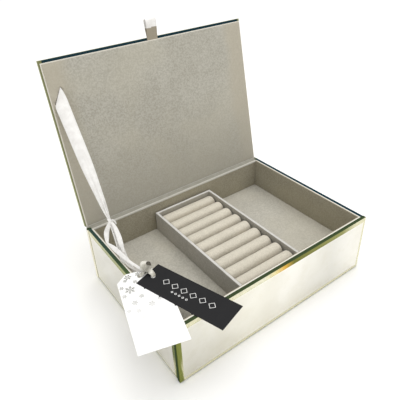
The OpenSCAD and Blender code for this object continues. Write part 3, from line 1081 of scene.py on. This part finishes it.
def add_pull_tab(material):
    """Ribbon loop at the lid's free edge, its ends between the lid's boards."""
    x = 2.0
    edge = 201.0
    middle = 2.0
    radius = 2.3
    centre = 21.0 - radius
    outline = [(-9, 0.3), (-1, 0.35), (4, 0.9), (9, 1.7), (14, 2.2), (centre, radius)]
    turn = [(centre + radius * math.cos(a), radius * math.sin(a)) for a in (math.pi / 4, 0, -math.pi / 4)]
    stations = []
    for out, up in outline + turn + [(out, -up) for out, up in reversed(outline)]:
        place = ON_LID @ (Vector((x + 0.04 * out, -(edge + out), middle + up)) * MM)
        stations.append((place / MM, (1, 0, 0), 14.2, 0.25 if up > 0 else 0.1))
    piece = ribbon("pull_tab_satin", stations, 14.4, material, across=12, steps=5, thickness=0.4 * MM)
    reaches = [-(ON_LID.inverted() @ v.co).y / MM - edge for v in piece.data.vertices]
    set_values(piece, "shade", [1.0 if out < 11 else 0.0 for out in reaches])
    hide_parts("pull_tab")
    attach(piece, "lid")


# ---- tags ----


def tag_matrix(node, turn):
    """Places a drawing on a tag's upper face: origin at its hole, +Y to its hole end."""
    swing = joint_place(node + "_swing")
    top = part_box(node)[1].z
    return Matrix.Translation((swing.x, swing.y, top)) @ Matrix.Rotation(math.radians(turn), 4, "Z")


def flat_shapes(name, outlines, material, matrix, body):
    """Printed shapes: thin closed plates, each from one outline of points in mm."""
    made = bmesh.new()
    for outline in outlines:
        vertices = [made.verts.new((x * MM, y * MM, 0)) for x, y in outline]
        made.faces.new(vertices)
    made.normal_update()
    flipped = [f for f in made.faces if f.normal.z < 0]
    bmesh.ops.reverse_faces(made, faces=flipped)
    top = bmesh.ops.extrude_face_region(made, geom=made.faces[:])
    moved = [v for v in top["geom"] if isinstance(v, bmesh.types.BMVert)]
    bmesh.ops.translate(made, verts=moved, vec=(0, 0, PRINT_THICKNESS))
    bmesh.ops.recalc_face_normals(made, faces=made.faces[:])
    mesh = bpy.data.meshes.new(name)
    made.transform(matrix)
    made.to_mesh(mesh)
    made.free()
    piece = new_object(name, mesh)
    piece.data.materials.append(material)
    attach(piece, body)


def snowflake(x, y, size, turn):
    """Outlines of a plain six-armed flake with two pairs of twigs on each arm."""

    def bar(start, angle, length, width):
        direction = Vector((math.cos(angle), math.sin(angle)))
        side = Vector((-direction.y, direction.x)) * width / 2
        tip = start + direction * length
        return [start - side, start + side, tip + side * 0.7, tip - side * 0.7]

    outlines = []
    for arm in range(6):
        angle = turn + arm * math.pi / 3
        direction = Vector((math.cos(angle), math.sin(angle)))
        root = Vector((x, y)) + direction * size * 0.12
        outlines.append(bar(root, angle, size * 0.88, size * 0.17))
        for share, twig in ((0.45, 0.34), (0.72, 0.22)):
            for lean in (-1, 1):
                joint = Vector((x, y)) + direction * size * share
                outlines.append(bar(joint, angle + lean * math.radians(55), size * twig, size * 0.13))
    return outlines


def flake_material():
    """Grey print that fades out down the tag."""
    tree = Tree("flake_print", Roughness=0.6, Specular_IOR_Level=0.3)
    down = tree.dot(tree.place, (0.28, 0.96, 0))
    fade = tree.step(down, -0.125, -0.052)
    speckle = tree.noise(0.0008, detail=2)
    ink = tree.mix(tree.step(speckle, 0.3, 0.7), (0.17, 0.175, 0.15), (0.30, 0.30, 0.27))
    return tree.finish(Base_Color=tree.mix(fade, (0.93, 0.93, 0.92), ink))


def add_tag_prints(silver):
    """Snowflakes on the white tag, and a row of lozenges on the black one."""
    flakes = [
        (-12.4, 2.8, 4.2), (-1.4, 3.7, 3.0), (-16.2, -1.6, 2.4), (-6.5, -6.3, 2.6),
        (8.0, -4.0, 2.6), (-21.6, -10.8, 2.6), (-13.9, -16.1, 5.6), (-21.0, -23.4, 2.6),
        (-4.7, -28.6, 3.0), (5.5, -20.0, 3.2), (-13.1, -35.3, 3.4), (2.6, -42.3, 3.8),
        (-20.8, -44.0, 2.4), (-11.7, -46.9, 2.8), (12.0, -38.0, 2.8), (-8.9, -55.8, 2.4),
    ]
    place = tag_matrix("white_tag", -16.1)
    outlines = []
    for i, (x, y, size) in enumerate(flakes):
        outlines += snowflake(x, y, size, 0.4 * i)
    flat_shapes("white_tag_flakes", outlines, flake_material(), place, "white_tag_body")
    place = tag_matrix("black_tag", 17.8)
    outlines = []
    for i in range(6):
        outlines += lozenge(1.5, -17 - 11.6 * i, 4.3)
    for i in range(5):
        outlines += lozenge(-6.5, -31 - 4.6 * i, 1.5)
    flat_shapes("black_tag_motif", outlines, silver, place, "black_tag_body")


def lozenge(x, y, size):
    """Four strokes of an open lozenge."""
    inner = size - 0.7
    corners = [(1, 0), (0, 1), (-1, 0), (0, -1)]
    strokes = []
    for (ax, ay), (bx, by) in zip(corners, corners[1:] + corners[:1]):
        ends = [(ax, ay, size), (bx, by, size), (bx, by, inner), (ax, ay, inner)]
        strokes.append([(x + right * reach, y + up * reach) for right, up, reach in ends])
    return strokes


# ---- materials on the CAD's own pieces ----


def paint(material, *nodes):
    """Gives CAD nodes a material."""
    for node in nodes:
        mesh = frame["nodes"][node].data
        mesh.materials.clear()
        mesh.materials.append(material)


def paint_cad():
    for node, outward, bands, edges, tones in (
        ("front_mirror", (0, -1, 0), FRONT_BANDS, GREEN_EDGE, FRONT_TONES),
        ("back_mirror", (0, 1, 0), FRONT_BANDS, BACK_EDGE, EVEN_TONES),
        ("left_mirror", (-1, 0, 0), SIDE_BANDS, LEFT_EDGE, LEFT_TONES),
        ("right_mirror", (1, 0, 0), SIDE_BANDS, RIGHT_EDGE, EVEN_TONES),
        ("lid_mirror", LID_UP, FRONT_BANDS, LID_EDGE, EVEN_TONES),
    ):
        paint(mirror_material(node, outward, bands, edges, tones), node)
    board = paper_material("cream_paper", (0.66, 0.63, 0.55), (0.80, 0.77, 0.70))
    paint(board, "front_board", "back_board", "left_board", "right_board", "lid_board")
    paint(board, "base_board", "floor_board", "floor_ledges")
    paint(felt_material("base_felt", (0.06, 0.055, 0.05), (0.14, 0.13, 0.12)), "base_felt")
    white = paper_material("white_card", (0.90, 0.90, 0.89), (0.96, 0.96, 0.95), roughness=0.55)
    black = paper_material("black_card", (0.007, 0.007, 0.008), (0.016, 0.016, 0.018), roughness=0.8)
    paint(white, "white_tag")
    paint(black, "black_tag")


def add_ribbons():
    satin = satin_material("satin", (0.78, 0.765, 0.74), (0.88, 0.87, 0.85), shade=(0.31, 0.27, 0.20))
    shaded = (0.15, 0.135, 0.105)
    bow_satin = satin_material("bow_satin", (0.34, 0.32, 0.26), (0.78, 0.76, 0.69), shaded, roughness=0.2)
    add_stay(satin)
    add_tag_strands(satin)
    add_tie_knot(satin)
    add_bow(bow_satin)
    add_pull_tab(satin)


def add_linings():
    side_tint = (0.45, 0.41, 0.325)
    lid = velvet_material("lining_velvet", (0.33, 0.313, 0.262), (0.515, 0.50, 0.44), margin=side_tint)
    # Painted shade: the walls' velvet is a darker copy of the lining's, for the box's shaded inner walls
    walls = velvet_material("wall_velvet_painted_shade", (0.245, 0.223, 0.163), (0.39, 0.36, 0.275))
    add_lid_lining(lid)
    add_wall_linings(walls)
    add_floor_pad(velvet_material("floor_velvet", (0.39, 0.372, 0.32), (0.57, 0.55, 0.485)))


def tray_velvets():
    """Velvet of the tray's walls, and that of its rolls, with painted light on the faces that look up."""
    # Painted highlight on the tray rim's top, and painted light on the rolls' crowns over darker sides that
    # are painted shade
    rim = (0.60, 0.59, 0.565)
    lit_crown = (0.605, 0.565, 0.475)
    walls = velvet_material("tray_velvet", (0.28, 0.265, 0.225), (0.42, 0.40, 0.355), top=rim)
    rolls = velvet_material("roll_velvet", (0.38, 0.35, 0.28), (0.56, 0.52, 0.44), grain=0.8, top=lit_crown)
    return walls, rolls


def main():
    add_camera()
    add_ribbons()
    add_linings()
    add_tray(*tray_velvets())
    pale_edge_colour = (0.60, 0.585, 0.53)
    add_hinge_cloth(cloth_material("hinge_cloth", (0.27, 0.26, 0.21), (0.40, 0.385, 0.33), pale_edge_colour))
    add_tag_prints(paper_material("silver_print", (0.70, 0.70, 0.69), (0.86, 0.86, 0.85), roughness=0.4))
    paint_cad()
    add_floor()
    add_room()
    add_lights()


main()
bpy.context.view_layer.update()
